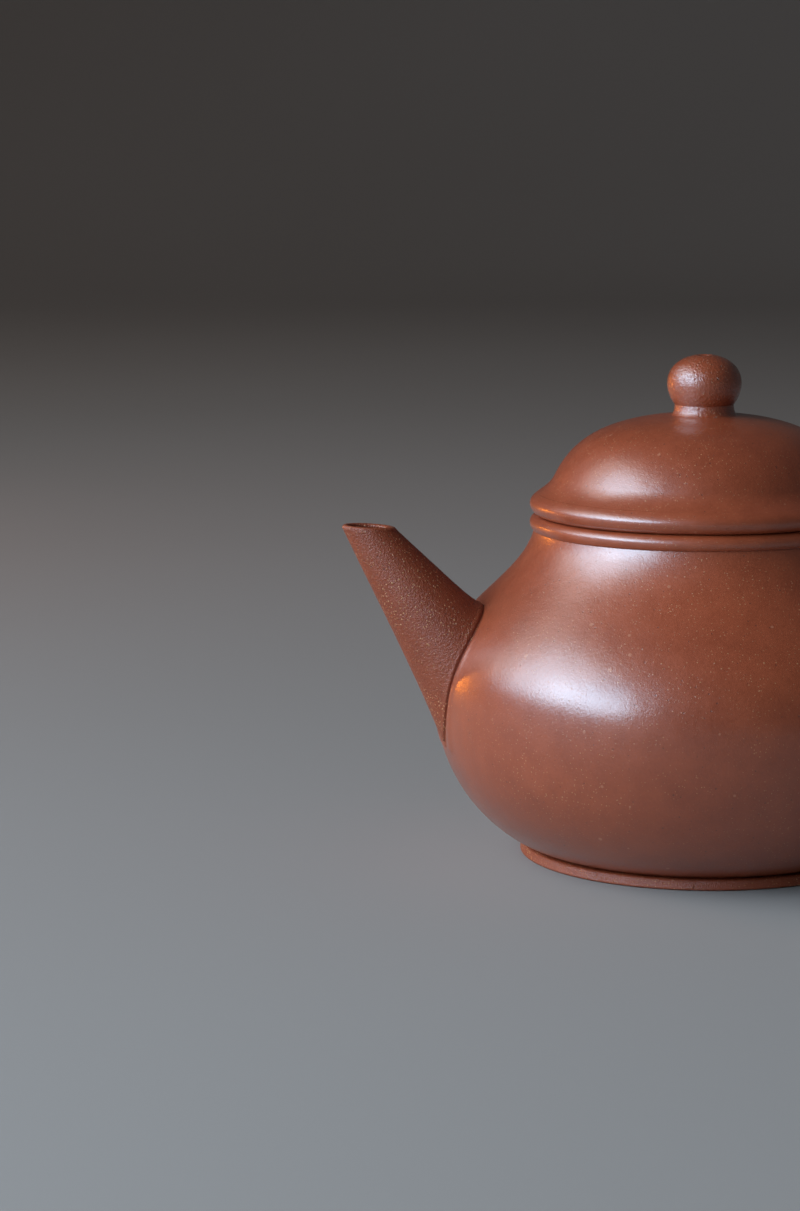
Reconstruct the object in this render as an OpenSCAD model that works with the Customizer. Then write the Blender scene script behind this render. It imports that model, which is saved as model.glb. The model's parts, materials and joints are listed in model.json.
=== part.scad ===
// A round unglazed clay teapot: a belly drawn up into a short neck, a straight steep spout,
// an ear-shaped handle and a domed lid with a ball knob. Every piece of clay that the potter
// makes and joins with slip is its own solid. The origin is on the pot's axis, in the plane
// that the foot stands on. The spout points along -X, the handle along +X, and +Z is up.

/* [Body] */
// Largest radius of the belly
belly_r = 40.8; // [39.5:0.1:42]
// Height of the largest radius above the table
belly_z = 24.8; // [23:0.1:26]
// Thickness of the body wall
wall = 2.4; // [1.8:0.1:3]
// Outer radius of the neck, just under the mouth ring
neck_r = 25.5; // [25:0.1:26]
// Height of the top of the neck
neck_top = 49.55; // [48.5:0.05:50.5]

/* [Foot] */
// Height of the foot ring
foot_h = 1.6; // [1.2:0.1:2]
// Outer radius of the foot ring
foot_r = 27.4; // [27:0.1:28.5]
// Radius of the disc that closes the bottom of the pot
base_r = 22; // [21:0.1:23]

/* [Mouth and lid] */
// Radius of the mouth's bore
bore_r = 23; // [22.5:0.1:23.2]
// Height of the face that the lid rests on
seat_z = 51.85; // [51.5:0.05:52.2]
// Outer radius of the mouth ring and of the lid's rim
lip_r = 26.15; // [26:0.05:26.3]
// Height of the top of the lid's dome
dome_top = 67.05; // [66:0.05:68]
// Radial gap between the lid's flange and the mouth
lid_gap = 0.3; // [0.2:0.05:0.5]
// Depth of the flange below the seat
flange_depth = 5.8; // [4:0.1:7]
// Thickness of the flange
flange_wall = 2.2; // [1.8:0.1:2.6]

/* [Knob] */
// Radius of the ball knob
knob_r = 5.62; // [5:0.02:6]
// Height of the knob's widest level
knob_z = 71.6; // [71:0.05:72]
// Height of the knob above its widest level
knob_rise = 4.35; // [4:0.05:5]
// Fullness of the knob's upper half: 1 is an ellipse, less is fuller
knob_full = 0.93; // [0.8:0.01:1]
// Radius of the steam vent through the knob and the dome
vent_r = 0.8; // [0.6:0.1:1.2]

/* [Spout] */
// Where the spout's axis starts inside the pot: distance from the pot's axis, and height
spout_root = [33.85, 26.55];
// Where the spout's axis ends at the tip
spout_tip = [50.78, 49.8];
// Height at which the tip is cut, on the spout's axis
spout_cut = 51.25; // [50.8:0.05:51.6]
// Angle by which that cut rises towards the front
spout_cut_tilt = 3.5; // [0:0.5:5]
// Radius at the root and at the tip, with the two radii that steer the taper between them
spout_taper = [9.15, 6.8, 5.1, 3.33];
// Thickness of the spout's wall at the root and at the tip
spout_wall = [1.9, 1.0];
// Radius of the port through the body wall behind the spout
port_r = 6; // [5:0.1:6.5]
// Height of the port's centre
port_z = 29.3; // [28:0.1:30]

/* [Strainer] */
// Outer radius of the pierced dome behind the port
strainer_r = 8.2; // [7.8:0.1:8.8]
// Thickness of the pierced dome
strainer_wall = 1.2; // [1:0.1:1.4]
// Radius of one strainer hole
pierce_r = 0.75; // [0.6:0.05:0.9]

/* [Handle] */
// How far the handle reaches from the pot's axis
handle_reach = 56.2; // [55:0.1:56.2]
// Thickness of the handle at its upper root, at its outermost point and at its lower root
handle_thick = [6.6, 5.0, 5.2];
// Width of the handle at the same three places
handle_wide = [8.0, 6.4, 6.2];

/* [Hidden] */
$fn = 96;

// Steps along each curve of an outline
curve_steps = 12;
// Distance by which a cutting solid runs past what it cuts
past = 1;

// How far the lower body curve runs out, and up, as it leaves the foot
foot_flare = [5.55, 1.5];
// Heights below and above the belly over which the wall stays close to its largest radius
belly_below = 14.05;
belly_above = 12.75;
// How far out, and down, the shoulder starts to turn into the neck
neck_flare = [2.2, 8.55];

// Share of the upper body curve that belongs to the wall; the neck ring has the rest
neck_share = 0.72;
// Radius at which the underside of the body meets the foot ring
body_foot_r = 25.75;
// Height of the inner face of the base disc
floor_z = foot_h + wall + 0.1;
// Inner radius of the foot ring
foot_bore_r = base_r - 0.8;

flange_r = bore_r - lid_gap;
flange_bore_r = flange_r - flange_wall;
// The level at which the dome is joined to the rim, and the rim's outer radius there
rim_top = seat_z + 3.3;
rim_top_r = lip_r - 1.4;
dome_wall = 2.5;
// The level of the knob's neck, and its radius
knob_neck_z = 68.4;
knob_neck_r = 4.45;

// ---- Curves -------------------------------------------------------------------------------

// A point of the cubic curve through the four points of c, at share t of its way
function on_curve(c, t) =
    pow(1 - t, 3) * c[0] + 3 * t * pow(1 - t, 2) * c[1] + 3 * t * t * (1 - t) * c[2] + pow(t, 3) * c[3];

// The direction of the curve at share t, of length 1
function along(c, t) =
    let (d = pow(1 - t, 2) * (c[1] - c[0]) + 2 * t * (1 - t) * (c[2] - c[1]) + t * t * (c[3] - c[2]))
    d / norm(d);

// Points of the curve from share a to share b
function curve(c, a = 0, b = 1, steps = curve_steps) =
    [for (i = [0:steps]) on_curve(c, a + (b - a) * i / steps)];

// The same points, moved by distance to the curve's left
function beside(c, distance, a = 0, b = 1, steps = curve_steps) =
    [for (i = [0:steps])
        let (t = a + (b - a) * i / steps, d = along(c, t))
        on_curve(c, t) + distance * [-d[1], d[0]]];

// A list of points in the opposite order
function backwards(points) = [for (i = [len(points) - 1:-1:0]) points[i]];

// ---- Outlines of the body, as [radius, height] ----------------------------------------------

lower_curve = [
    [body_foot_r, foot_h],
    [body_foot_r + foot_flare[0], foot_h + foot_flare[1]],
    [belly_r, belly_z - belly_below],
    [belly_r, belly_z]
];
upper_curve = [
    [belly_r, belly_z],
    [belly_r, belly_z + belly_above],
    [neck_r + neck_flare[0], neck_top - neck_flare[1]],
    [neck_r, neck_top]
];

// The outside of the body up to the top of the neck, as a full solid
module body_form() {
    rotate_extrude()
        polygon(concat([[0, foot_h]], curve(lower_curve), curve(upper_curve), [[0, neck_top]]));
}

// The space inside the pot, as a full solid
module body_hollow() {
    rotate_extrude()
        polygon(concat(
            [[0, floor_z], [base_r, floor_z]],
            beside(lower_curve, wall),
            beside(upper_curve, wall),
            [[bore_r, neck_top], [0, neck_top]]
        ));
}

module port() {
    translate([-belly_r - past, 0, port_z])
        rotate([0, 90, 0])
            cylinder(r = port_r, h = belly_r);
}

// ---- The pot ------------------------------------------------------------------------------

module body_wall() {
    color("#96503a")
        difference() {
            rotate_extrude()
                polygon(concat(
                    [[base_r, foot_h]],
                    curve(lower_curve),
                    curve(upper_curve, 0, neck_share),
                    backwards(beside(upper_curve, wall, 0, neck_share)),
                    backwards(beside(lower_curve, wall)),
                    [[base_r, floor_z]]
                ));
            port();
        }
}

module neck_ring() {
    color("#9a543d")
        rotate_extrude()
            polygon(concat(
                curve(upper_curve, neck_share, 1, 6),
                [[bore_r, neck_top]],
                backwards(beside(upper_curve, wall, neck_share, 1, 6))
            ));
}

// The bead round the mouth, with the flat face that the lid rests on. It is widest near its top.
module mouth_ring() {
    bead = [
        [neck_r, neck_top],
        [lip_r - 0.05, neck_top + 0.15],
        [lip_r + 0.75, seat_z - 0.1],
        [lip_r - 1.05, seat_z]
    ];
    color("#8e4a35")
        rotate_extrude()
            polygon(concat([[bore_r, neck_top]], curve(bead, 0, 1, 10), [[bore_r, seat_z]]));
}

module base_disc() {
    color("#8a4733")
        translate([0, 0, foot_h])
            cylinder(r = base_r, h = floor_z - foot_h);
}

// The foot's flank leans in towards the body, between a rounded lower and a rounded upper edge
module foot_ring() {
    lower_edge = [
        [foot_r - 0.6, 0],
        [foot_r, 0],
        [foot_r + 0.25, 0.15],
        [foot_r + 0.12, 0.5]
    ];
    upper_edge = [
        [foot_r - 0.15, foot_h - 0.45],
        [foot_r - 0.25, foot_h - 0.1],
        [foot_r - 0.5, foot_h],
        [foot_r - 0.9, foot_h]
    ];
    color("#8e4a35")
        rotate_extrude()
            polygon(concat(
                [[foot_bore_r, 0]],
                curve(lower_edge, 0, 1, 6),
                curve(upper_edge, 0, 1, 6),
                [[foot_bore_r, foot_h]]
            ));
}

// ---- Spout --------------------------------------------------------------------------------

spout_run = spout_tip - spout_root;
spout_length = norm(spout_run);
spout_lean = atan2(spout_run[0], spout_run[1]);

// Radius of the spout at share t of its axis. Below the root it widens in a straight line.
function spout_radius(t) =
    t < 0 ? spout_taper[0] + 3 * t * (spout_taper[1] - spout_taper[0]) : on_curve(spout_taper, t);

// Thickness of the spout's wall at share t of its axis
function spout_wall_at(t) = spout_wall[0] + max(t, 0) * (spout_wall[1] - spout_wall[0]);

// A round solid on the spout's axis, inside the outer surface by the share inset of the wall
module spout_core(first, last, inset = 0) {
    steps = 14;
    outline = [for (i = [0:steps])
        let (t = first + (last - first) * i / steps)
        [spout_radius(t) - inset * spout_wall_at(t), t * spout_length]];
    translate([-spout_root[0], 0, spout_root[1]])
        rotate([0, -spout_lean, 0])
            rotate_extrude()
                polygon(concat([[0, first * spout_length]], outline, [[0, last * spout_length]]));
}

module spout() {
    // half the size of the block that cuts the tip
    block = 20;
    color("#7e3f2d")
        difference() {
            spout_core(-0.2, 1.2);
            spout_core(-0.25, 1.25, inset = 1);
            body_form();
            translate([-spout_tip[0], 0, spout_cut])
                rotate([0, spout_cut_tilt, 0])
                    translate([-block, -block, 0])
                        cube([2 * block, 2 * block, block]);
        }
}

// A dome with 19 holes that keeps the leaves out of the spout
module spout_strainer() {
    // rings of holes: the angle from the dome's middle, and how many holes
    rings = [[0, 1], [28, 6], [56, 12]];
    // distance of the dome's centre from the pot's axis
    centre = belly_r - wall - 0.5;
    color("#8a4733")
        translate([-centre, 0, port_z])
            difference() {
                intersection() {
                    sphere(r = strainer_r);
                    translate([centre, 0, -port_z])
                        body_hollow();
                }
                sphere(r = strainer_r - strainer_wall);
                for (ring = rings, i = [0:ring[1] - 1])
                    rotate([360 * (i + 0.5) / ring[1], 0, 0])
                        rotate([0, 90 - ring[0], 0])
                            translate([0, 0, strainer_r - strainer_wall - past])
                                cylinder(r = pierce_r, h = strainer_wall + 2 * past);
            }
}

// ---- Handle -------------------------------------------------------------------------------

// The handle's centre line as [distance from the pot's axis, height]: over the top, then down
handle_centre_reach = handle_reach - handle_thick[1] / 2;
handle_over = [
    [27.5, 40.5],
    [36.5, 46.5],
    [handle_centre_reach, 51.5],
    [handle_centre_reach, 37.5]
];
handle_down = [
    [handle_centre_reach, 37.5],
    [handle_centre_reach, 27.0],
    [47.5, 19.5],
    [36.5, 17.0]
];

// Value at share t of the whole handle, from three values at its start, middle and end
function handle_value(v, t) =
    t < 0.5 ? v[0] + (v[1] - v[0]) * sin(180 * t) : v[1] + (v[2] - v[1]) * (1 - sin(180 * t));

// The points of one oval section of the handle, at share t of the whole
function handle_section(t, sides) =
    let (
        c = t < 0.5 ? handle_over : handle_down,
        s = t < 0.5 ? 2 * t : 2 * t - 1,
        p = on_curve(c, s),
        d = along(c, s),
        thick = handle_value(handle_thick, t) / 2,
        wide = handle_value(handle_wide, t) / 2
    )
    [for (i = [0:sides - 1])
        let (a = 360 * i / sides)
        [p[0] - d[1] * thick * cos(a), wide * sin(a), p[1] + d[0] * thick * cos(a)]];

module handle_loop() {
    sides = 20;
    rings = 44;
    points = [for (k = [0:rings]) each handle_section(k / rings, sides)];
    skin = [for (k = [0:rings - 1], i = [0:sides - 1])
        let (j = (i + 1) % sides, a = k * sides, b = a + sides)
        each [[a + i, b + i, b + j], [a + i, b + j, a + j]]];
    first_cap = [for (i = [0:sides - 1]) i];
    last_cap = [for (i = [sides - 1:-1:0]) rings * sides + i];
    polyhedron(points, concat(skin, [first_cap, last_cap]));
}

module handle() {
    color("#8a4733")
        difference() {
            handle_loop();
            body_form();
        }
}

// ---- Lid ----------------------------------------------------------------------------------

// The lid's outline above its rim: the soft hollow over the rim, then the dome
lid_hollow = [
    [lip_r - 0.03, seat_z + 1.45],
    [lip_r + 0.2, seat_z + 3.1],
    [lip_r - 2.45, seat_z + 3.3],
    [lip_r - 3.7, seat_z + 5.75]
];
lid_arch = [
    lid_hollow[3],
    [lip_r - 6.25, seat_z + 10.95],
    [15.1, dome_top],
    [0, dome_top]
];
// The dome's inner face
dome_inside = [
    [rim_top_r - dome_wall - 0.4, rim_top],
    [rim_top_r - dome_wall - 3.6, rim_top + 6.6],
    [13, dome_top - dome_wall],
    [0, dome_top - dome_wall]
];

module lid_rim() {
    under = [
        [lip_r - 1.65, seat_z],
        [lip_r - 0.45, seat_z],
        [lip_r - 0.2, seat_z + 0.5],
        lid_hollow[0]
    ];
    color("#96503a")
        rotate_extrude()
            polygon(concat(
                [[flange_bore_r, seat_z]],
                curve(under, 0, 1, 6),
                [for (i = [1:6]) on_curve(lid_hollow, i / 12)],
                [dome_inside[0], [flange_bore_r, seat_z + 1.6]]
            ));
}

module dome_form() {
    rotate_extrude()
        polygon(concat(
            curve(lid_hollow, 0.5, 1, 6),
            curve(lid_arch),
            [[0, rim_top]]
        ));
}

module lid_dome() {
    color("#9a543d")
        difference() {
            rotate_extrude()
                polygon(concat(
                    curve(lid_hollow, 0.5, 1, 6),
                    curve(lid_arch),
                    backwards(curve(dome_inside))
                ));
            cylinder(r = vent_r, h = dome_top + past);
        }
}

module lid_flange() {
    chamfer = 0.5;
    bottom = seat_z - flange_depth;
    color("#8a4733")
        rotate_extrude()
            polygon([
                [flange_bore_r, bottom],
                [flange_r - chamfer, bottom],
                [flange_r, bottom + chamfer],
                [flange_r, seat_z],
                [flange_bore_r, seat_z]
            ]);
}

// The small collar between the dome and the knob
module knob_seat() {
    flare = [
        [knob_neck_r + 0.6, dome_top - 0.2],
        [knob_neck_r + 0.2, dome_top + 0.1],
        [knob_neck_r + 0.05, dome_top + 0.5],
        [knob_neck_r, knob_neck_z]
    ];
    color("#7e3f2d")
        difference() {
            rotate_extrude()
                polygon(concat(
                    [[vent_r, dome_top - past]],
                    [[flare[0][0], dome_top - past]],
                    curve(flare, 0, 1, 6),
                    [[vent_r, knob_neck_z]]
                ));
            dome_form();
        }
}

module knob() {
    drop = (knob_z - knob_neck_z) / sqrt(1 - pow(knob_neck_r / knob_r, 2));
    start = -acos(knob_neck_r / knob_r);
    end = acos(pow(vent_r / knob_r, 1 / knob_full));
    steps = 18;
    color("#96503a")
        rotate_extrude()
            polygon(concat(
                [[vent_r, knob_neck_z]],
                [for (i = [0:steps])
                    let (a = start + (end - start) * i / steps)
                    a < 0
                        ? [knob_r * cos(a), knob_z + drop * sin(a)]
                        : [knob_r * pow(cos(a), knob_full), knob_z + knob_rise * pow(sin(a), knob_full)]]
            ));
}

body_wall();
neck_ring();
mouth_ring();
base_disc();
foot_ring();
spout();
spout_strainer();
handle();
lid_rim();
lid_dome();
lid_flange();
knob_seat();
knob();
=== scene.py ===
"""The looks of a small yixing clay teapot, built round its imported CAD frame.

Every piece of clay is a fine mesh in the place of its CAD node: lathed outlines for what the
potter turns, and swept skins, trimmed exactly on the belly, for the spout and the handle.
Outlines are in millimetres as (distance from the pot's axis, height); meshes are in metres.
"""

import json
import math

import bpy
from mathutils import Matrix, Vector, noise


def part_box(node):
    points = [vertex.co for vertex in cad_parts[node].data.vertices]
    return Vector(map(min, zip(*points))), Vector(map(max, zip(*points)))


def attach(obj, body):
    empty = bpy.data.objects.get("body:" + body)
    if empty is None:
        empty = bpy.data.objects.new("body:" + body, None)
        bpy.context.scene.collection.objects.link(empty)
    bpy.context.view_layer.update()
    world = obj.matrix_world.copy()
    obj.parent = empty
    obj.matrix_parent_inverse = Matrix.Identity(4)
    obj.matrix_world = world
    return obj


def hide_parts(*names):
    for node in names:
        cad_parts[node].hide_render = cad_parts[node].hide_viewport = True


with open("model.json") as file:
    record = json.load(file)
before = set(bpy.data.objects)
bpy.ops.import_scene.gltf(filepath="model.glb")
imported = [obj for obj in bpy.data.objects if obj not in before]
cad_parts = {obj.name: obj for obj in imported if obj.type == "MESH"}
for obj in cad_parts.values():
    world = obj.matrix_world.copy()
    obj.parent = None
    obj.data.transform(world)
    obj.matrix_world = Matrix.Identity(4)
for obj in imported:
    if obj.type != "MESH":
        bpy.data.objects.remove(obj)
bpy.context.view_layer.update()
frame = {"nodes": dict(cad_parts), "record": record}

MM = 0.001
SAME_POINT = 1e-4  # in mm: outline points closer than this are one point


def full_turn(sides):
    """Angles evenly round the circle."""
    return [2 * math.pi * k / sides for k in range(sides)]


def clamped(x):
    return max(0.0, min(1.0, x))


def bell(x, width):
    """1 at x = 0, falling to 0 on both sides over about twice the width."""
    return math.exp(-(x / width) ** 2)


def add_object(name, data):
    thing = bpy.data.objects.new(name, data)
    bpy.context.scene.collection.objects.link(thing)
    return thing


# ---- Sizes, in mm, read from the frame where it has them -----------------------------------

def radius_of(node):
    """Outer radius of a turned node, in millimetres."""
    low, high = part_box(node)
    return (high.y - low.y) / 2 / MM


def bottom_of(node):
    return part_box(node)[0].z / MM


def top_of(node):
    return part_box(node)[1].z / MM


BELLY_ROOM = 0.06   # left inside the CAD box for the unevenness
HANDLE_ROOM = 0.10  # the same at the handle

BELLY_R = radius_of("body_wall") - BELLY_ROOM
BELLY_Z = 24.8
WALL = 2.4
NECK_R = 25.5
NECK_TOP = top_of("neck_ring")
NECK_SHARE = 0.72   # t on the body's upper curve at which the neck ring begins
FOOT_EDGE_R = 27.4
FOOT_H = top_of("foot_ring")
BODY_FOOT_R = 25.75
BASE_R = radius_of("base_disc")
FLOOR_Z = top_of("base_disc")
FOOT_LAP = 0.8      # how far the foot ring reaches under the base disc
FOOT_BORE_R = BASE_R - FOOT_LAP
BORE_R = 23.0
SEAT_Z = top_of("mouth_ring")
LIP_R = 26.15
RIM_TOP = top_of("lid_rim")
DOME_TOP = top_of("lid_dome")
DOME_WALL = 2.5
FLANGE_R = radius_of("lid_flange")
FLANGE_WALL = 2.2
FLANGE_BORE_R = FLANGE_R - FLANGE_WALL
FLANGE_BOTTOM = bottom_of("lid_flange")
KNOB_R = radius_of("knob")
KNOB_TOP = top_of("knob")
KNOB_Z = 71.6
KNOB_FULL = 0.93    # below 1, the upper half of the knob is fuller than an ellipse
KNOB_NECK_Z = bottom_of("knob")
KNOB_NECK_R = 4.45
VENT_R = 0.8
HANDLE_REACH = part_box("handle")[1].x / MM - HANDLE_ROOM


# ---- Curves --------------------------------------------------------------------------------

def on_curve(c, t):
    """The point at t, from 0 to 1, of the cubic Bezier curve with the control points c."""
    u = 1 - t
    w = (u ** 3, 3 * t * u * u, 3 * t * t * u, t ** 3)
    return tuple(sum(w[k] * c[k][axis] for k in range(4)) for axis in range(len(c[0])))


def value_on_curve(c, t):
    """The same for four plain numbers."""
    return on_curve([(v,) for v in c], t)[0]


def along(c, t):
    """The curve's direction at t, of length 1."""
    u = 1 - t
    w = (u * u, 2 * t * u, t * t)
    d = [sum(w[k] * (c[k + 1][axis] - c[k][axis]) for k in range(3)) for axis in range(2)]
    size = math.hypot(*d)
    return d[0] / size, d[1] / size


def curve(c, first=0.0, last=1.0, *, steps, beside=0.0):
    """Points of the curve from t = first to t = last, moved to its left by beside."""
    points = []
    for i in range(steps + 1):
        t = first + (last - first) * i / steps
        r, z = on_curve(c, t)
        dr, dz = along(c, t)
        points.append((r - beside * dz, z + beside * dr))
    return points


def joined(*parts):
    """One outline from several, with repeated points left out."""
    outline = []
    for part in parts:
        for p in part:
            if not outline or math.dist(outline[-1], p) > SAME_POINT:
                outline.append(p)
    return outline


def straight(a, b, steps):
    return [(a[0] + (b[0] - a[0]) * i / steps, a[1] + (b[1] - a[1]) * i / steps)
            for i in range(steps + 1)]


# ---- Hand-made unevenness ------------------------------------------------------------------

WOBBLES = ((0.035, 0.10), (0.11, 0.028), (0.33, 0.006))  # (waves per mm, mm)
CALM_HEIGHT = 3.0  # the foot stands flat, so the unevenness fades out below this height
NOISE_SEED = 7     # without a seed, noise_vector differs from run to run
noise.seed_set(NOISE_SEED)


def uneven(p):
    """p in millimetres, moved a little, as hands and a wooden paddle leave the clay."""
    p = Vector(p)
    calm = clamped(p.z / CALM_HEIGHT)
    for frequency, size in WOBBLES:
        p = p + noise.noise_vector(p * frequency) * size * calm
    return p


# ---- Meshes --------------------------------------------------------------------------------

SHARP_ANGLE = math.radians(50)


def make_piece(name, points, faces, node, material):
    """A shaded mesh from points in millimetres. It rides with its CAD node and stands for it."""
    mesh = bpy.data.meshes.new(name)
    mesh.from_pydata([uneven(p) * MM for p in points], [], faces)
    mesh.validate()
    mesh.shade_smooth()
    mesh.set_sharp_from_angle(angle=SHARP_ANGLE)
    mesh.materials.append(material)
    piece = add_object(name, mesh)
    bodies = frame["record"]["behaviour"]["bodies"]
    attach(piece, next(body for body, nodes in bodies.items() if node in nodes))
    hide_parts(node)
    return piece


def lathe(name, outline, node, material, segments=288, angles=None, press=None):
    """A closed solid from a closed outline. Points on the axis become poles.

    angles, if given, takes the place of even segments, and press moves each point of the
    solid, in millimetres.
    """
    angles = angles or full_turn(segments)
    segments = len(angles)
    points, rings = [], []
    for r, z in outline:
        if r < SAME_POINT:
            points.append((0, 0, z))
            rings.append([len(points) - 1] * segments)
        else:
            rings.append(list(range(len(points), len(points) + segments)))
            points += [(r * math.cos(a), r * math.sin(a), z) for a in angles]
    if press:
        points = [press(p) for p in points]
    faces = []
    for i, ring in enumerate(rings):
        following = rings[(i + 1) % len(rings)]
        for k in range(segments):
            m = (k + 1) % segments
            face = []
            for corner in (ring[k], ring[m], following[m], following[k]):
                if corner not in face:
                    face.append(corner)
            if len(face) > 2:
                faces.append(face)
    return make_piece(name, points, faces, node, material)


def skin(rows, closed=True):
    """Points and faces of a tube from rows of points, each row once round the tube.

    A closed tube's last row joins its first, as in a wall with an outside and an inside.
    """
    sides = len(rows[0])
    points = [p for row in rows for p in row]
    faces = []
    count = len(rows) if closed else len(rows) - 1
    for i in range(count):
        j = (i + 1) % len(rows)
        for k in range(sides):
            m = (k + 1) % sides
            faces.append([i * sides + k, i * sides + m, j * sides + m, j * sides + k])
    return points, faces


# ---- Outlines ------------------------------------------------------------------------------

LOWER_CURVE = [
    (BODY_FOOT_R, FOOT_H),
    (BODY_FOOT_R + 5.55, FOOT_H + 1.5),
    (BELLY_R, BELLY_Z - 14.05),
    (BELLY_R, BELLY_Z),
]
UPPER_CURVE = [
    (BELLY_R, BELLY_Z),
    (BELLY_R, BELLY_Z + 12.75),
    (NECK_R + 2.2, NECK_TOP - 8.55),
    (NECK_R, NECK_TOP),
]
SURFACE = joined(curve(LOWER_CURVE, steps=200), curve(UPPER_CURVE, steps=200))


def belly_radius(z):
    """Radius of the pot's outer surface at height z."""
    if z <= SURFACE[0][1]:
        return SURFACE[0][0]
    for (r0, z0), (r1, z1) in zip(SURFACE, SURFACE[1:]):
        if z <= z1:
            return r0 + (r1 - r0) * (z - z0) / (z1 - z0)
    return SURFACE[-1][0]


def outside(p):
    """How far p lies outside the pot's surface, measured level."""
    return math.hypot(p[0], p[1]) - belly_radius(p[2])


LID_HOLLOW = [
    (LIP_R - 0.03, SEAT_Z + 1.45),
    (LIP_R + 0.2, SEAT_Z + 3.1),
    (LIP_R - 2.45, SEAT_Z + 3.3),
    (LIP_R - 3.7, SEAT_Z + 5.75),
]
LID_ARCH = [LID_HOLLOW[3], (LIP_R - 6.25, SEAT_Z + 10.95), (15.1, DOME_TOP), (0.0, DOME_TOP)]
DOME_INSIDE = [
    (LIP_R - 4.3, RIM_TOP),
    (LIP_R - 7.5, RIM_TOP + 6.6),
    (13.0, DOME_TOP - DOME_WALL),
    (0.0, DOME_TOP - DOME_WALL),
]


def until_vent(c, steps):
    """The curve towards the axis, stopped at the vent."""
    last_gap = 0.2  # the curve's own points stay this far from the vent's edge
    points = [p for p in curve(c, steps=steps) if p[0] > VENT_R + last_gap]
    return points + [(VENT_R, points[-1][1])]


# ---- Clay ----------------------------------------------------------------------------------

class Graph:
    """A short way to write shader nodes."""

    def __init__(self, material):
        self.tree = material.node_tree
        self.tree.nodes.clear()

    def add(self, kind, inputs=(), **settings):
        node = self.tree.nodes.new(kind)
        for key, value in settings.items():
            setattr(node, key, value)
        for key, value in dict(inputs).items():
            if isinstance(value, bpy.types.NodeSocket):
                self.tree.links.new(value, node.inputs[key])
            else:
                node.inputs[key].default_value = value
        return node

    def math(self, operation, a, b=0.0, c=0.0, clamp=False):
        node = self.add("ShaderNodeMath", {0: a, 1: b, 2: c}, operation=operation, use_clamp=clamp)
        return node.outputs[0]

    def noise(self, where, scale, detail=2, roughness=0.5):
        node = self.add("ShaderNodeTexNoise",
                        {"Vector": where, "Scale": scale, "Detail": detail, "Roughness": roughness})
        return node.outputs["Fac"]

    def ramp(self, value, low, high, to_low=0.0, to_high=1.0):
        node = self.add("ShaderNodeMapRange",
                        {"Value": value, "From Min": low, "From Max": high,
                         "To Min": to_low, "To Max": to_high},
                        interpolation_type="SMOOTHSTEP")
        return node.outputs["Result"]

    def mix(self, share, a, b, blend="MIX"):
        node = self.add("ShaderNodeMix", data_type="RGBA", blend_type=blend)
        for socket, value in ((node.inputs[0], share), (node.inputs[6], a), (node.inputs[7], b)):
            if isinstance(value, bpy.types.NodeSocket):
                self.tree.links.new(value, socket)
            else:
                socket.default_value = value
        return node.outputs[2]

    def specks(self, where, grains, share, growth=1.0):
        """Sparse round grains: 1 inside a grain. share is how many of the cells have one.

        grains is (cells per metre, size as a share of a cell).
        """
        scale, size = grains
        cell = self.add("ShaderNodeTexVoronoi", {"Vector": where, "Scale": scale})
        parts = self.add("ShaderNodeSeparateColor", {"Color": cell.outputs["Color"]})
        chosen = self.math("GREATER_THAN", parts.outputs[0], 1 - share)
        own_size = self.math("MULTIPLY_ADD", parts.outputs[1],
                             size * growth * 0.7, size * growth * 0.5)
        edge = self.math("DIVIDE", cell.outputs["Distance"], own_size)
        return self.math("MULTIPLY", chosen, self.ramp(edge, 1.15, 0.75))

    def bump(self, height, size, under=None):
        """A bump of size millimetres, on top of the bump under."""
        inputs = {"Height": height, "Distance": size * MM, "Strength": 1.0}
        if under is not None:
            inputs["Normal"] = under
        return self.add("ShaderNodeBump", inputs).outputs["Normal"]


def rgb(red, green, blue):
    return (red, green, blue, 1.0)


DARK_CLAY = rgb(0.255, 0.045, 0.014)
LIGHT_CLAY = rgb(0.355, 0.069, 0.022)
PALE_SAND = rgb(0.58, 0.26, 0.11)
SOFT_SPOT = rgb(0.55, 0.22, 0.12)
IRON_SPECK = rgb(0.055, 0.018, 0.012)

# grains, as (cells per metre, size as a share of a cell)
SAND_GRAINS = (2270, 0.20)
LARGE_GRAINS = (1000, 0.12)
SPOT_GRAINS = (290, 0.085)
IRON_GRAINS = (1100, 0.14)

# waves per metre
BROAD_WAVES = 42    # the kiln's slow change of colour
PATCH_WAVES = 95    # where the sand shows more or less
HAND_WAVES = 170
CLOUD_WAVES = 310
RUBBED_WAVES = 620
FINE_WAVES = 5200

HAND_HEIGHT = 0.06     # in mm, of the waves that hands leave
RUBBED_HEIGHT = 0.016  # in mm, of the finer waves that the rubbing tool leaves


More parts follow.
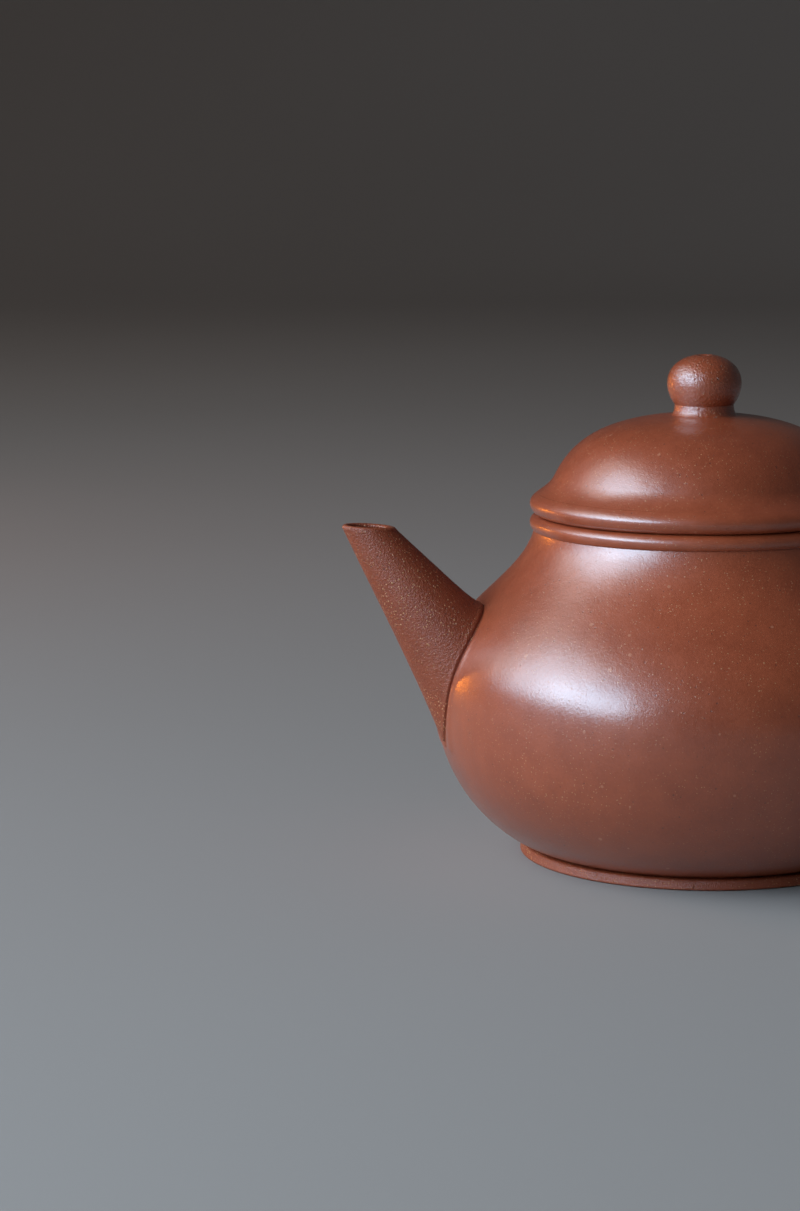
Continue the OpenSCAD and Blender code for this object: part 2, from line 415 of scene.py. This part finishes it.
def clay(name, roughness, tooth_height, sand, pale, gloss, coat,
         tooth_waves=2300, deep=1.0, grit=1.0):
    """Unglazed stoneware.

    tooth_height is the height of the fine grain in mm and tooth_waves its waves per metre;
    sand is how many pale grains there are, pale how clearly they show and grit a factor on
    their size; deep is a factor on the clay's colour; coat is the share of the surface that
    is rubbed smooth, and gloss the roughness of that share.
    """
    material = bpy.data.materials.new(name)
    material.use_nodes = True
    g = Graph(material)
    where = g.add("ShaderNodeTexCoord").outputs["Object"]

    # colour: slow and quick changes of tone, and painted shade in the hollows of the fine grain
    broad = g.noise(where, BROAD_WAVES, 3)
    cloud = g.noise(where, CLOUD_WAVES, 4, 0.6)
    tooth = g.noise(where, tooth_waves, 3, 0.65)
    fine = g.noise(where, FINE_WAVES, 2, 0.6)
    tone = g.math("ADD", g.math("MULTIPLY", broad, 0.6), g.math("MULTIPLY", cloud, 0.4))
    colour = g.mix(g.ramp(tone, 0.25, 0.75), DARK_CLAY, LIGHT_CLAY)
    # painted shade: the low points of the fine grain's relief are coloured darker, as if shade fell
    # in them
    painted_grain_shade = g.math("MULTIPLY_ADD", tooth, 0.34 * deep, 0.83 * deep)
    painted_grain_shade_grey = g.add("ShaderNodeCombineColor", {0: painted_grain_shade, 1: painted_grain_shade, 2: painted_grain_shade}).outputs[0]
    colour = g.mix(1.0, colour, painted_grain_shade_grey, "MULTIPLY")

    # pale and dark grains in the clay
    grains = g.specks(where, SAND_GRAINS, sand, grit)
    large_grains = g.specks(where, LARGE_GRAINS, 0.35 * sand, grit)
    spots = g.specks(where, SPOT_GRAINS, 0.5)
    iron = g.specks(where, IRON_GRAINS, 0.5 * sand)
    patch = g.ramp(g.noise(where, PATCH_WAVES), 0.36, 0.62, 0.25 * pale, pale)
    colour = g.mix(g.math("MULTIPLY", grains, patch), colour, PALE_SAND)
    colour = g.mix(g.math("MULTIPLY", large_grains, patch), colour, PALE_SAND)
    colour = g.mix(g.math("MULTIPLY", spots, 0.42), colour, SOFT_SPOT)
    colour = g.mix(g.math("MULTIPLY", iron, 0.50), colour, IRON_SPECK)

    # roughness, uneven in the same places
    rough = g.math("MULTIPLY_ADD", g.math("SUBTRACT", cloud, 0.5), 0.12, roughness)
    rough = g.math("MULTIPLY_ADD", g.math("SUBTRACT", tooth, 0.5), 0.16, rough)
    rough = g.math("MULTIPLY_ADD", grains, 0.10, rough, clamp=True)

    # relief: grains stand out, iron is pitted, and both lie on the waves of tool and hands
    height = g.math("MULTIPLY_ADD", fine, 0.45, tooth)
    height = g.math("MULTIPLY_ADD", grains, 0.35, height)
    height = g.math("MULTIPLY_ADD", large_grains, 0.6, height)
    height = g.math("MULTIPLY_ADD", iron, -0.4, height)
    grain = g.bump(height, tooth_height)
    rubbed = g.bump(g.noise(where, RUBBED_WAVES), RUBBED_HEIGHT, under=grain)
    normal = g.bump(g.noise(where, HAND_WAVES), HAND_HEIGHT, under=rubbed)
    surface = g.add("ShaderNodeBsdfPrincipled",
                    {"Base Color": colour, "Roughness": rough, "Normal": normal,
                     "Specular IOR Level": 0.5, "Coat Weight": coat, "Coat Roughness": gloss,
                     "Coat IOR": 1.7, "Coat Normal": normal})
    g.add("ShaderNodeOutputMaterial", {"Surface": surface.outputs["BSDF"]})
    return material


burnished = clay("burnished_clay", roughness=0.45, tooth_height=0.026, sand=0.65, pale=0.62,
                 gloss=0.23, coat=0.85)
grainy = clay("grainy_clay", roughness=0.46, tooth_height=0.14, sand=1.0, pale=1.0,
              gloss=0.24, coat=0.16, tooth_waves=2600, deep=0.88, grit=1.3)
knob_finish = clay("knob_clay", roughness=0.38, tooth_height=0.12, sand=0.90, pale=0.80,
                   gloss=0.14, coat=1.0, grit=1.2)
inner = clay("inner_clay", roughness=0.62, tooth_height=0.045, sand=0.45, pale=0.5,
             gloss=0.50, coat=0.0)


# ---- The spout's shape, which the body's seam needs too -------------------------------------

SPOUT_ROOT = Vector((-33.85, 0, 26.55))
SPOUT_TIP = Vector((-50.78, 0, 49.8))
SPOUT_TAPER = (9.15, 6.8, 5.1, 3.33)  # radii, root to tip
SPOUT_WALL = (1.9, 1.0)               # at the root and at the tip
SPOUT_CUT = 51.25                     # height of the slanting cut right above SPOUT_TIP
SPOUT_CUT_TILT = math.radians(3.5)
SPOUT_LENGTH = (SPOUT_TIP - SPOUT_ROOT).length


def spout_radius(t):
    if t < 0:
        return SPOUT_TAPER[0] + 3 * t * (SPOUT_TAPER[1] - SPOUT_TAPER[0])
    return value_on_curve(SPOUT_TAPER, t)


def spout_point(t, angle, inset=0.0):
    """A point of the spout's surface. Angle 0 is the upper side; inset goes into the wall."""
    axis = (SPOUT_TIP - SPOUT_ROOT).normalized()
    side = Vector((0, 1, 0))
    upper = side.cross(axis)
    if upper.x < 0:
        upper = -upper
    r = spout_radius(t) - inset
    centre = SPOUT_ROOT + (SPOUT_TIP - SPOUT_ROOT) * t
    return centre + (upper * math.cos(angle) + side * math.sin(angle)) * r


def above_cut(p):
    """How far p lies above the slanting cut at the spout's tip."""
    return ((p.z - SPOUT_CUT) * math.cos(SPOUT_CUT_TILT)
            + (p.x - SPOUT_TIP.x) * math.sin(SPOUT_CUT_TILT))


def beside_spout(p):
    """How far p lies along the spout, as a share, and how far outside its surface, in mm."""
    p = Vector(p)
    axis = SPOUT_TIP - SPOUT_ROOT
    t = (p - SPOUT_ROOT).dot(axis) / SPOUT_LENGTH ** 2
    return t, (p - SPOUT_ROOT - axis * t).length - spout_radius(t)


# ---- The pot -------------------------------------------------------------------------------

PORT_Z = 29.3
PORT_R = 6.0
EVEN_SPACING = 1.8              # degrees between the body's segments
SPOUT_SIDE = (180, 14.5, 0.24)  # (middle, half width, spacing), in degrees
HANDLE_SIDE = (0, 8, 0.6)


def dense_angles(zones, coarse):
    """Angles round the axis, in radians: coarse degrees apart, or closer in each zone."""
    widening = 0.25  # how fast the spacing grows outside a zone
    angles, a = [], 0.0
    while a < 360 - coarse / 2:
        angles.append(math.radians(a))
        step = coarse
        for middle, half, fine in zones:
            away = abs((a - middle + 180) % 360 - 180)
            step = min(step, max(fine, fine + (away - half) * widening))
        a += step
    return angles


SEAM_LOWEST = -0.16   # just below the spout's seam, as a share of the spout's length
SEAM_FADE = 0.03      # the crease fades in over this share above SEAM_LOWEST
SEAM_REACH = 3.0      # only clay this near to the spout's surface is pressed
SEAM_FRONT = -20.0    # the spout's root lies wholly beyond this x
SKIN_DEPTH = 0.2      # points deeper than this belong to the inside
CORNER_Z = 33.0       # from here up the tool presses less, as the corner narrows
CORNER_FADE = 4.0
# height or depth, lower down and in the upper corner, and width
RAISED_EDGE = (0.19, 0.06, 0.52)
CREASE = (0.24, 0.12, 0.24)
CORNER_DIP = (0.0, 0.10, 1.3)
EDGE_BESIDE = 0.75    # from the crease to the middle of the raised edge


def pressed(p):
    """The crease and the raised edge that the potter's tool leaves round the spout's root."""
    r = math.hypot(p[0], p[1])
    if p[0] > SEAM_FRONT or r < belly_radius(p[2]) - SKIN_DEPTH:
        return p
    t, s = beside_spout(p)
    if abs(s) > SEAM_REACH or t < SEAM_LOWEST:
        return p
    share = clamped((t - SEAM_LOWEST) / SEAM_FADE)
    up = clamped((p[2] - CORNER_Z) / CORNER_FADE)

    def mark(shape, away):
        low, high, width = shape
        return (low + (high - low) * up) * bell(away, width)

    out = mark(RAISED_EDGE, s - EDGE_BESIDE) - mark(CREASE, s) - mark(CORNER_DIP, s)
    k = 1 + out * share / r
    return (p[0] * k, p[1] * k, p[2])


def port_cutter():
    """A rod along x that cuts the port through the wall behind the spout."""
    sides = 72
    near, far = 30.0, 46.0
    points, faces = skin([[(-x, PORT_R * math.cos(a), PORT_Z + PORT_R * math.sin(a))
                           for a in full_turn(sides)]
                          for x in (near, far)], closed=False)
    faces += [list(range(sides - 1, -1, -1)), list(range(sides, 2 * sides))]
    mesh = bpy.data.meshes.new("port_cutter")
    mesh.from_pydata([Vector(p) * MM for p in points], [], faces)
    return add_object("port_cutter", mesh)


def make_body():
    dense_from = 0.62  # t on the lower curve from which the spout's seam needs close rows
    outline = joined(
        straight((BASE_R, FOOT_H), LOWER_CURVE[0], 4),
        curve(LOWER_CURVE, 0, dense_from, steps=36),
        curve(LOWER_CURVE, dense_from, 1, steps=64),
        curve(UPPER_CURVE, 0, NECK_SHARE, steps=112),
        curve(UPPER_CURVE, NECK_SHARE, 0, steps=24, beside=WALL),
        curve(LOWER_CURVE, 1, 0, steps=30, beside=WALL),
        [(BASE_R, FLOOR_Z)],
    )
    body = lathe("body_wall_clay", outline, "body_wall", burnished,
                 angles=dense_angles([SPOUT_SIDE, HANDLE_SIDE], EVEN_SPACING), press=pressed)
    punch = port_cutter()
    cut = body.modifiers.new("port", "BOOLEAN")
    cut.operation = "DIFFERENCE"
    cut.object = punch
    cut.solver = "EXACT"
    bpy.context.view_layer.update()
    cut_mesh = bpy.data.meshes.new_from_object(
        body.evaluated_get(bpy.context.evaluated_depsgraph_get()))
    body.modifiers.clear()
    body.data = cut_mesh
    bpy.data.objects.remove(punch)


def make_neck():
    outline = joined(
        curve(UPPER_CURVE, NECK_SHARE, 1, steps=30),
        [(BORE_R, NECK_TOP)],
        curve(UPPER_CURVE, 1, NECK_SHARE, steps=12, beside=WALL),
    )
    lathe("neck_ring_clay", outline, "neck_ring", burnished)


def make_mouth():
    bead = [
        (NECK_R, NECK_TOP),
        (LIP_R - 0.05, NECK_TOP + 0.15),
        (LIP_R + 0.75, SEAT_Z - 0.25),
        (LIP_R - 1.45, SEAT_Z),
    ]
    outline = joined(
        straight((BORE_R, NECK_TOP), bead[0], 4),
        curve(bead, steps=28),
        straight(bead[3], (BORE_R + 0.3, SEAT_Z), 4),
        [(BORE_R + 0.09, SEAT_Z - 0.09), (BORE_R, SEAT_Z - 0.3)],
    )
    lathe("mouth_ring_clay", outline, "mouth_ring", burnished)


def make_foot():
    lower_edge = [
        (FOOT_EDGE_R - 0.6, 0.0),
        (FOOT_EDGE_R, 0.0),
        (FOOT_EDGE_R + 0.25, 0.15),
        (FOOT_EDGE_R + 0.12, 0.5),
    ]
    upper_edge = [
        (FOOT_EDGE_R - 0.15, FOOT_H - 0.45),
        (FOOT_EDGE_R - 0.25, FOOT_H - 0.1),
        (FOOT_EDGE_R - 0.5, FOOT_H),
        (FOOT_EDGE_R - 0.9, FOOT_H),
    ]
    outline = joined(
        [(FOOT_BORE_R, 0.35), (FOOT_BORE_R + 0.1, 0.1), (FOOT_BORE_R + 0.35, 0.0)],
        curve(lower_edge, steps=14),
        straight(lower_edge[3], upper_edge[0], 5),
        curve(upper_edge, steps=14),
        straight(upper_edge[3], (FOOT_BORE_R, FOOT_H), 4),
    )
    lathe("foot_ring_clay", outline, "foot_ring", grainy)


def make_base():
    outline = joined(
        straight((0.0, FOOT_H + 0.1), (BASE_R, FOOT_H + 0.02), 24),
        straight((BASE_R, FLOOR_Z), (0.0, FLOOR_Z), 24),
    )
    lathe("base_disc_clay", outline, "base_disc", inner)


make_body()
make_neck()
make_mouth()
make_foot()
make_base()
for material_slot in frame["nodes"]["spout_strainer"].material_slots:
    material_slot.material = inner


# ---- Spout ---------------------------------------------------------------------------------

def crossing(f, low, high):
    """Where f changes sign between low and high, by halving."""
    rising = f(high) > 0
    for _ in range(40):
        middle = (low + high) / 2
        if (f(middle) > 0) == rising:
            high = middle
        else:
            low = middle
    return (low + high) / 2


def spout_wall_at(t):
    return SPOUT_WALL[0] + max(0.0, t) * (SPOUT_WALL[1] - SPOUT_WALL[0])


ROOT_DEPTH = 0.35  # the spout and the handle reach this far into the belly, under the crease
ROOT_START = 0.8   # further than this below the seam the fillets grow no more
ROOT_RANGE = (-0.2, 0.9)  # the seam at the spout's root lies between these shares of its length
TIP_RANGE = (0.5, 1.3)    # and the cut at its tip between these
LIP_ROUND = 0.42   # radius of the rounding on the outer edge of the tip
LIP_INNER = 0.8    # of that radius, on the inner edge
LIP_FULL = 0.95    # height of the rolled lip, as a share of the same radius
SPOUT_FILLET = (0.62, 1.15)    # (size on the upper side, length over which it runs out)
SPOUT_CREASE = (0.20, 0.22)    # (depth, width)
SPOUT_EDGE = (0.05, 0.3, 0.6)  # (height, width, distance from the seam)


def make_spout():
    sides, rows_out, rows_over, rows_in = 192, 170, 12, 60
    angles = full_turn(sides)
    rows = [[] for _ in range(rows_out + 1)]
    starts, ends, inner_starts, inner_ends = [], [], [], []
    for a in angles:
        plain = crossing(lambda t: outside(spout_point(t, a)), *ROOT_RANGE)
        fillet = SPOUT_FILLET[0] * max(0.0, math.cos(a)) ** 2

        def swept(t, inset=0.0):
            from_plain = max((t - plain) * SPOUT_LENGTH, -ROOT_START)
            return spout_point(t, a, inset - fillet * math.exp(-from_plain / SPOUT_FILLET[1]))

        seam = crossing(lambda t: outside(swept(t)), plain - 0.06, ROOT_RANGE[1])
        start = crossing(lambda t: outside(swept(t)) + ROOT_DEPTH, plain - 0.1, seam + 0.001)
        end = crossing(lambda t: above_cut(spout_point(t, a)) + LIP_ROUND, *TIP_RANGE)
        starts.append(start)
        ends.append(end)
        inner_starts.append(crossing(
            lambda t: outside(spout_point(t, a, spout_wall_at(t))), *ROOT_RANGE))
        inner_ends.append(crossing(
            lambda t: above_cut(spout_point(t, a, spout_wall_at(t))) + LIP_ROUND * LIP_INNER,
            *TIP_RANGE))
        for i in range(rows_out + 1):
            s = i / rows_out
            s = s * s * (1.9 - 0.9 * s)  # rows close up towards the seam
            t = start + (end - start) * s
            from_seam = (t - seam) * SPOUT_LENGTH
            crease = SPOUT_CREASE[0] * bell(from_seam, SPOUT_CREASE[1])
            edge = SPOUT_EDGE[0] * bell(from_seam - SPOUT_EDGE[2], SPOUT_EDGE[1])
            rows[i].append(swept(t, crease - edge))
    # the rolled lip, from the outer edge over the top to the bore
    for j in range(1, rows_over + 1):
        q = j / rows_over
        row = []
        for a, end, inner_end in zip(angles, ends, inner_ends):
            outer_edge = spout_point(end, a)
            inner_edge = spout_point(inner_end, a, spout_wall_at(inner_end))
            p = outer_edge.lerp(inner_edge, (1 - math.cos(math.pi * q)) / 2)
            p.z += LIP_ROUND * math.sin(math.pi * q) * LIP_FULL
            row.append(p)
        rows.append(row)
    for i in range(1, rows_in + 1):
        row = []
        for a, start, end in zip(angles, inner_starts, inner_ends):
            t = end + (start - end) * i / rows_in
            row.append(spout_point(t, a, spout_wall_at(t)))
        rows.append(row)
    points, faces = skin(rows)
    make_piece("spout_clay", points, faces, "spout", grainy)


make_spout()


# ---- Handle --------------------------------------------------------------------------------

HANDLE_THICK = (6.6, 5.0, 5.2)  # at the upper root, halfway and at the lower root
HANDLE_WIDE = (8.0, 6.4, 6.2)
HANDLE_LENGTH = 80.0            # roughly, along its middle
HANDLE_FILLET = (0.5, 1.5)      # (size, length over which it runs out)
HANDLE_CREASE = (0.14, 0.2)     # (depth, width)
UPPER_ROOT = (0.0, 0.3)         # its seam lies between these shares of the handle's way
LOWER_ROOT = (0.75, 1.0)
HANDLE_OUT = HANDLE_REACH - HANDLE_THICK[1] / 2
HANDLE_OVER = [(27.5, 40.5), (36.5, 46.5), (HANDLE_OUT, 51.5), (HANDLE_OUT, 37.5)]
HANDLE_DOWN = [(HANDLE_OUT, 37.5), (HANDLE_OUT, 27.0), (47.5, 19.5), (36.5, 17.0)]


def handle_value(v, t):
    """The size v at share t of the handle's way from the upper root to the lower one."""
    s = math.sin(math.pi * t)
    return v[0] + (v[1] - v[0]) * s if t < 0.5 else v[1] + (v[2] - v[1]) * (1 - s)


def handle_point(t, angle, inset=0.0):
    """A point of the handle's surface; inset goes into the clay."""
    c, s = (HANDLE_OVER, 2 * t) if t < 0.5 else (HANDLE_DOWN, 2 * t - 1)
    r, z = on_curve(c, s)
    dr, dz = along(c, s)
    thick = (handle_value(HANDLE_THICK, t) / 2 - inset) * math.cos(angle)
    wide = (handle_value(HANDLE_WIDE, t) / 2 - inset) * math.sin(angle)
    return Vector((r - dz * thick, wide, z + dr * thick))


def make_handle():
    sides, count = 112, 280
    crowd = 0.12  # how far rows close up towards both roots
    rows = [[] for _ in range(count + 1)]
    for a in full_turn(sides):
        first = crossing(lambda t: outside(handle_point(t, a)), *UPPER_ROOT)
        last = crossing(lambda t: outside(handle_point(t, a)), *LOWER_ROOT)

        def swept(t, inset=0.0):
            from_root = max(min(t - first, last - t) * HANDLE_LENGTH, -ROOT_START)
            fillet = HANDLE_FILLET[0] * math.exp(-from_root / HANDLE_FILLET[1])
            return handle_point(t, a, inset - fillet)

        seam = crossing(lambda t: outside(swept(t)), first - 0.02, UPPER_ROOT[1])
        far_seam = crossing(lambda t: outside(swept(t)), LOWER_ROOT[0], last + 0.02)
        start = crossing(lambda t: outside(swept(t)) + ROOT_DEPTH, first - 0.03, seam + 0.001)
        end = crossing(lambda t: outside(swept(t)) + ROOT_DEPTH, far_seam - 0.001, last + 0.03)
        for i in range(count + 1):
            s = i / count
            s = s - crowd * math.sin(2 * math.pi * s)
            t = start + (end - start) * s
            from_seam = min(t - seam, far_seam - t) * HANDLE_LENGTH
            rows[i].append(swept(t, HANDLE_CREASE[0] * bell(from_seam, HANDLE_CREASE[1])))
    points, faces = skin(rows, closed=False)
    first_end = list(range(sides))
    faces += [first_end[::-1], [count * sides + k for k in first_end]]
    make_piece("handle_clay", points, faces, "handle", grainy)


make_handle()


# ---- Lid -----------------------------------------------------------------------------------

def make_rim():
    under = [
        (LIP_R - 2.1, SEAT_Z),
        (LIP_R - 0.75, SEAT_Z),
        (LIP_R - 0.25, SEAT_Z + 0.55),
        LID_HOLLOW[0],
    ]
    outline = joined(
        straight((FLANGE_BORE_R, SEAT_Z), under[0], 4),
        curve(under, steps=18),
        curve(LID_HOLLOW, 0, 0.5, steps=24),
        straight(on_curve(LID_HOLLOW, 0.5), DOME_INSIDE[0], 3),
        [(FLANGE_BORE_R, SEAT_Z + 1.6)],
    )
    lathe("lid_rim_clay", outline, "lid_rim", burnished)


def make_dome():
    outline = joined(
        curve(LID_HOLLOW, 0.5, 1, steps=24),
        until_vent(LID_ARCH, 80),
        until_vent(DOME_INSIDE, 40)[::-1],
    )
    lathe("lid_dome_clay", outline, "lid_dome", burnished)


def make_flange():
    rounding = 0.5
    outline = joined(
        [(FLANGE_BORE_R, FLANGE_BOTTOM + rounding), (FLANGE_BORE_R + 0.15, FLANGE_BOTTOM + 0.15),
         (FLANGE_BORE_R + rounding, FLANGE_BOTTOM)],
        [(FLANGE_R - rounding, FLANGE_BOTTOM), (FLANGE_R - 0.15, FLANGE_BOTTOM + 0.15),
         (FLANGE_R, FLANGE_BOTTOM + rounding)],
        straight((FLANGE_R, FLANGE_BOTTOM + 1), (FLANGE_R, SEAT_Z), 6),
        straight((FLANGE_BORE_R, SEAT_Z), (FLANGE_BORE_R, FLANGE_BOTTOM + 1), 6),
    )
    lathe("lid_flange_clay", outline, "lid_flange", inner)


def make_knob_seat():
    flare = [
        (KNOB_NECK_R + 0.6, DOME_TOP - 0.2),
        (KNOB_NECK_R + 0.2, DOME_TOP + 0.1),
        (KNOB_NECK_R + 0.05, DOME_TOP + 0.5),
        (KNOB_NECK_R, KNOB_NECK_Z),
    ]
    outline = joined(
        [(VENT_R, DOME_TOP - 0.4), (flare[0][0], DOME_TOP - 0.4)],
        curve(flare, steps=24),
        [(VENT_R, KNOB_NECK_Z)],
    )
    lathe("knob_seat_clay", outline, "knob_seat", knob_finish, segments=192)


def make_knob():
    drop = (KNOB_Z - KNOB_NECK_Z) / math.sqrt(1 - (KNOB_NECK_R / KNOB_R) ** 2)
    rise = KNOB_TOP - KNOB_Z
    vent_round = 0.45  # radius of the rounding on the vent's edge
    vent_steps = 6
    first = -math.acos(KNOB_NECK_R / KNOB_R)
    last = math.acos(((VENT_R + vent_round) / KNOB_R) ** (1 / KNOB_FULL))
    steps = 72
    ball = []
    for i in range(steps + 1):
        a = first + (last - first) * i / steps
        if a < 0:
            ball.append((KNOB_R * math.cos(a), KNOB_Z + drop * math.sin(a)))
        else:
            ball.append((KNOB_R * math.cos(a) ** KNOB_FULL,
                         KNOB_Z + rise * math.sin(a) ** KNOB_FULL))
    top_z = ball[-1][1]
    vent_edge = [(VENT_R + vent_round * (1 - math.sin(b)), top_z - vent_round * (1 - math.cos(b)))
                 for b in (math.pi / 2 * i / vent_steps for i in range(1, vent_steps + 1))]
    outline = joined([(VENT_R, KNOB_NECK_Z)], ball, vent_edge,
                     straight(vent_edge[-1], (VENT_R, KNOB_NECK_Z), 4))
    lathe("knob_clay", outline[:-1], "knob", knob_finish, segments=192)


make_rim()
make_dome()
make_flange()
make_knob_seat()
make_knob()


# ---- Camera, floor and light ---------------------------------------------------------------

VIEW_YAW = math.radians(8.5)     # the spout points this far towards the camera
VIEW_PITCH = math.radians(8.92)  # the camera looks down by this angle
VIEW_ROLL = math.radians(-0.27)
VIEW_FROM = Vector((-45.87, -496.35, 115.9))  # before the yaw, in mm from the foot's centre
VIEW_LENS = 98.37
VIEW_TURN = Matrix.Rotation(-VIEW_YAW, 3, "Z")
WINDOW_BLUE = (0.57, 0.78, 1.0)
FLOOR_DARK = rgb(0.31, 0.275, 0.245)
FLOOR_LIGHT = rgb(0.34, 0.305, 0.275)


def make_camera():
    forward = Vector((0, math.cos(VIEW_PITCH), -math.sin(VIEW_PITCH)))
    level_up = Vector((0, math.sin(VIEW_PITCH), math.cos(VIEW_PITCH)))
    level_right = Vector((1, 0, 0))
    right = level_right * math.cos(VIEW_ROLL) + level_up * math.sin(VIEW_ROLL)
    up = level_up * math.cos(VIEW_ROLL) - level_right * math.sin(VIEW_ROLL)
    camera = add_object("camera", bpy.data.cameras.new("camera"))
    basis = Matrix((VIEW_TURN @ right, VIEW_TURN @ up, -(VIEW_TURN @ forward))).transposed()
    camera.matrix_world = Matrix.Translation(VIEW_TURN @ VIEW_FROM * MM) @ basis.to_4x4()
    camera.data.sensor_width = 36
    camera.data.lens = VIEW_LENS
    camera.data.clip_start = 0.01
    camera.data.clip_end = 50
    bpy.context.scene.camera = camera


def soft_box(name, place, faces, width, height, power, colour):
    """A rectangular lamp, sizes in metres.

    place and faces are as seen by the camera: x right, y away, z up.
    """
    light = bpy.data.lights.new(name, "AREA")
    light.shape = "RECTANGLE"
    light.size = width
    light.size_y = height
    light.energy = power
    light.color = colour
    lamp = add_object(name, light)
    lamp.location = VIEW_TURN @ Vector(place)
    lamp.rotation_euler = (VIEW_TURN @ -Vector(faces)).to_track_quat("Z", "Y").to_euler()


def make_floor():
    """A round floor that bends up into a wall, in metres."""
    flat, bend, wall = 1.3, 0.8, 1.4
    flat_rings, bend_rings, segments = 20, 16, 96
    outline = [(flat * (i / flat_rings) ** 1.5, 0.0) for i in range(1, flat_rings + 1)]
    outline += [(flat + bend * math.sin(a), bend * (1 - math.cos(a)))
                for a in (math.pi / 2 * i / bend_rings for i in range(1, bend_rings + 1))]
    outline += [(flat + bend, bend + wall)]
    points, faces = skin([[(r * math.cos(a), r * math.sin(a), z) for a in full_turn(segments)]
                          for r, z in outline], closed=False)
    points.append((0, 0, 0))
    faces += [[len(points) - 1, k, (k + 1) % segments] for k in range(segments)]
    mesh = bpy.data.meshes.new("floor")
    mesh.from_pydata(points, [], faces)
    mesh.shade_smooth()
    material = bpy.data.materials.new("pale_floor")
    material.use_nodes = True
    g = Graph(material)
    where = g.add("ShaderNodeTexCoord").outputs["Object"]
    colour = g.mix(g.noise(where, 3), FLOOR_DARK, FLOOR_LIGHT)
    surface = g.add("ShaderNodeBsdfPrincipled", {"Base Color": colour, "Roughness": 0.75,
                                                 "Specular IOR Level": 0.25})
    g.add("ShaderNodeOutputMaterial", {"Surface": surface.outputs["BSDF"]})
    mesh.materials.append(material)
    add_object("floor", mesh)


def make_world(strength):
    world = bpy.data.worlds.new("studio")
    bpy.context.scene.world = world
    world.use_nodes = True
    background = world.node_tree.nodes["Background"]
    background.inputs["Color"].default_value = rgb(0.80, 0.86, 1.0)
    background.inputs["Strength"].default_value = strength


make_camera()
make_floor()
make_world(strength=0.05)
soft_box("window", (-0.60, -0.37, 0.435), (1, 0, 0),
         width=0.95, height=0.55, power=8.6, colour=WINDOW_BLUE)
soft_box("window_low", (-0.59, -0.47, 0.30), (1, 0, 0),
         width=0.70, height=0.24, power=4.4, colour=WINDOW_BLUE)
soft_box("overhead", (-1.05, 0.0, 0.85), (1.05, 0.0, -0.8),
         width=1.3, height=0.9, power=7.0, colour=(0.95, 0.86, 0.82))
soft_box("kicker", (-0.42, 0.35, 0.06), (0.42, -0.35, 0),
         width=0.02, height=0.10, power=0.30, colour=(1.0, 0.27, 0.03))
bpy.context.scene.view_settings.view_transform = "Standard"
